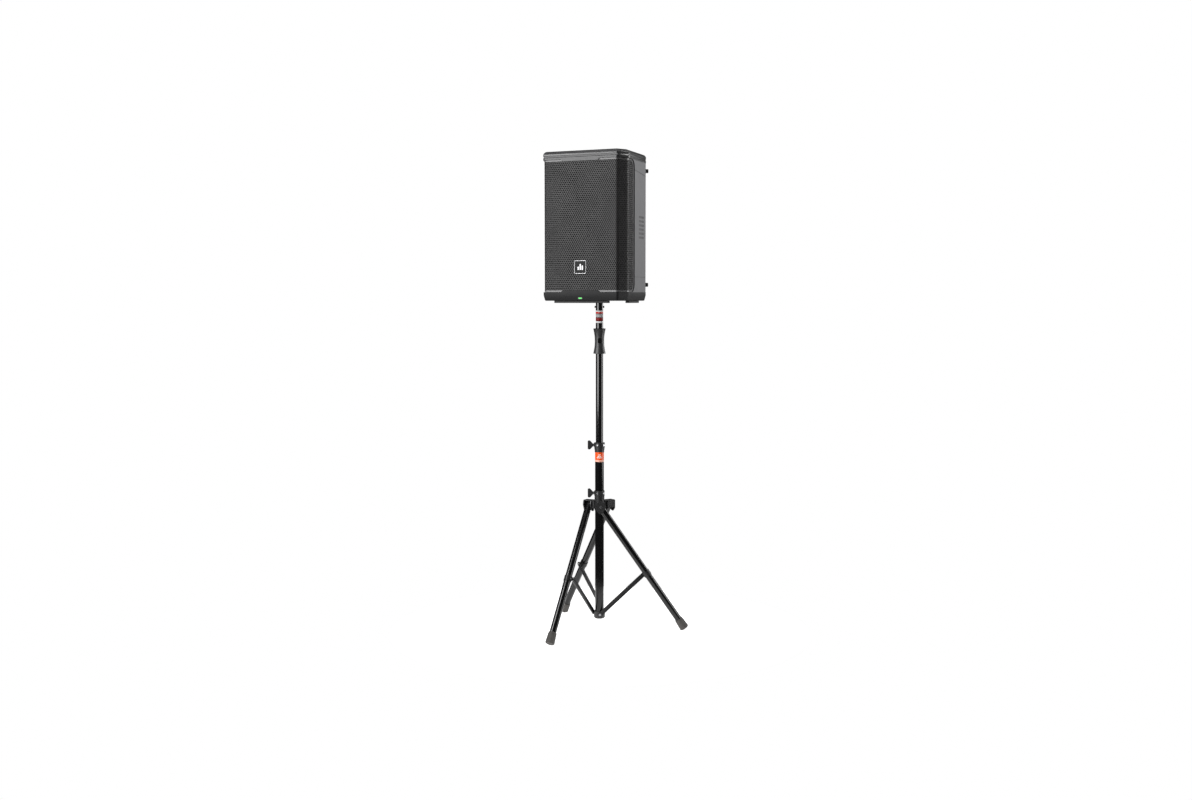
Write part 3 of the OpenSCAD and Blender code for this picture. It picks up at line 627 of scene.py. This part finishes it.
def add_foam(wall, depth=2.6 * MM, step=7 * MM):
    """The black foam close behind the sheet, with a soft uneven face."""
    columns, rows = int(wall.length / step), int((wall.high - wall.low) / step)
    points, faces = [], []
    for row in range(rows + 1):
        for column in range(columns + 1):
            s, z = wall.length * column / columns, wall.low + (wall.high - wall.low) * row / rows
            wave = 0.25 * MM * math.sin(s * 210 + z * 90) * math.sin(z * 170 - s * 60)
            points.append(wall.at(min(max(s, 3 * MM), wall.length - 3 * MM), z, depth + wave))
    for row in range(rows):
        for column in range(columns):
            low = row * (columns + 1) + column
            faces.append((low, low + 1, low + columns + 2, low + columns + 1))
    foam = make_object("foam_sheet", points, faces)
    give(foam, LOOKS["foam"])
    thick = foam.modifiers.new("thickness", "SOLIDIFY")
    thick.thickness = 1.6 * MM
    thick.offset = -1
    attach(foam, "cabinet")
    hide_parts("grille_foam")


def block_faces(points, faces, low, high):
    """Adds a box between two corners."""
    start = len(points)
    points += [(x, y, z) for x in (low[0], high[0]) for y in (low[1], high[1]) for z in (low[2], high[2])]
    faces += [tuple(start + k for k in face) for face in
              ((0, 1, 3, 2), (4, 6, 7, 5), (0, 4, 5, 1), (2, 3, 7, 6), (0, 2, 6, 4), (1, 5, 7, 3))]


BADGE_BARS = ((-14, -13, 7, 15), (-3.5, -13, 7, 27), (7, -13, 7, 20))   # left, foot, width, height


def add_badge():
    """A square badge: a rounded bright rim, a dark field and a plain mark of bars."""
    low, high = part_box("badge")
    centre, width = (low + high) / 2, high.x - low.x
    section = [(0, 3.0), (0, 0.9), (0.35, 0.3), (0.9, 0.0),
               (2.5, 0.0), (3.1, 0.3), (3.4, 0.9), (3.4, 1.6)]     # inset and depth, in millimetres
    points, faces = [], []
    for inset, depth in section:
        loop = rounded_loop(width - 2 * inset * MM, width - 2 * inset * MM, 7 * MM - inset * MM)
        points += [(centre.x + x, low.y + depth * MM, centre.z + z) for x, z in loop]
    count = len(loop)
    for ring in range(len(section) - 1):
        bridge(faces, ring * count, (ring + 1) * count, count)
    rim_faces = len(faces)
    faces.append(tuple(range(len(points) - count, len(points))))
    faces.append(tuple(reversed(range(count))))
    field_faces = len(faces)
    for x, z, wide, tall in BADGE_BARS:
        block_faces(points, faces, (centre.x + x * MM, low.y + 0.9 * MM, centre.z + z * MM),
                    (centre.x + (x + wide) * MM, low.y + 1.7 * MM, centre.z + (z + tall) * MM))
    badge = make_object("badge_plate", points, faces)
    for material in ("badge_rim", "badge_field", "badge_mark"):
        badge.data.materials.append(LOOKS[material])
    for face in badge.data.polygons:
        face.material_index = (face.index >= rim_faces) + (face.index >= field_faces)
        face.use_smooth = face.index < rim_faces
    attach(badge, "cabinet")
    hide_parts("badge")


add_camera()
add_studio()
make_stand_looks()
make_cabinet_looks()
make_works_looks()

dress("pole", LOOKS["gloss"], 0.3 * MM)
dress("main_tube leg_a leg_b leg_c", LOOKS["leg"], 0.3 * MM)
dress("brace_a brace_b brace_c", LOOKS["satin"], 0.5 * MM)
dress("upper_collar hub_collar base_fitting", LOOKS["nylon"], 0.8 * MM)
dress("leg_bracket_a leg_bracket_b leg_bracket_c", LOOKS["satin"], 0.6 * MM)
dress("base_cap pole_plug pole_top_cap pole_cup", LOOKS["nylon"], 1.0 * MM)
dress("collar_bolts hub_bolts", LOOKS["bright_zinc"], 0.5 * MM)
dress("pole_pin", LOOKS["pin"], 0.5 * MM)
dress("base_rivets hub_pins upper_knob_stud hub_knob_stud panel_screws rigging_inserts",
      LOOKS["dark_zinc"], 0.5 * MM)
dress("upper_knob hub_knob", LOOKS["knob"], 2.0 * MM)
dress("tube_band", LOOKS["orange"])
dress("pole_band", LOOKS["striped"])
dress("grip_sleeve", LOOKS["grip"], 1.0 * MM)
dress("grip_button", LOOKS["button"], 0.5 * MM)
dress("foot_a foot_b foot_c", LOOKS["foot_rubber"], 0.8 * MM)
dress("top_cap", LOOKS["cap"], 1.0 * MM)
dress("bottom_cap", LOOKS["cap_low"], 1.6 * MM)
dress("cabinet_shell", LOOKS["side"], 1.0 * MM)
dress("led_lens", LOOKS["led"])
dress("cabinet_feet rear_bumpers", LOOKS["rubber"], 1.5 * MM)
dress("baffle horn", LOOKS["black_plastic"])
dress("woofer_basket woofer_magnet compression_driver", LOOKS["cast"])
dress("woofer_surround woofer_cone", LOOKS["paper"])
dress("amp_panel", LOOKS["panel"], 0.4 * MM)
dress("heat_sink", LOOKS["anodised"])
dress("amp_board", LOOKS["laminate"])
dress("input_sockets", LOOKS["nickel"], 0.4 * MM)
dress("power_inlet power_rocker level_knob_a level_knob_b", LOOKS["black_plastic"], 0.5 * MM)
add_grille()
add_badge()

bpy.context.scene.view_settings.view_transform = "Standard"
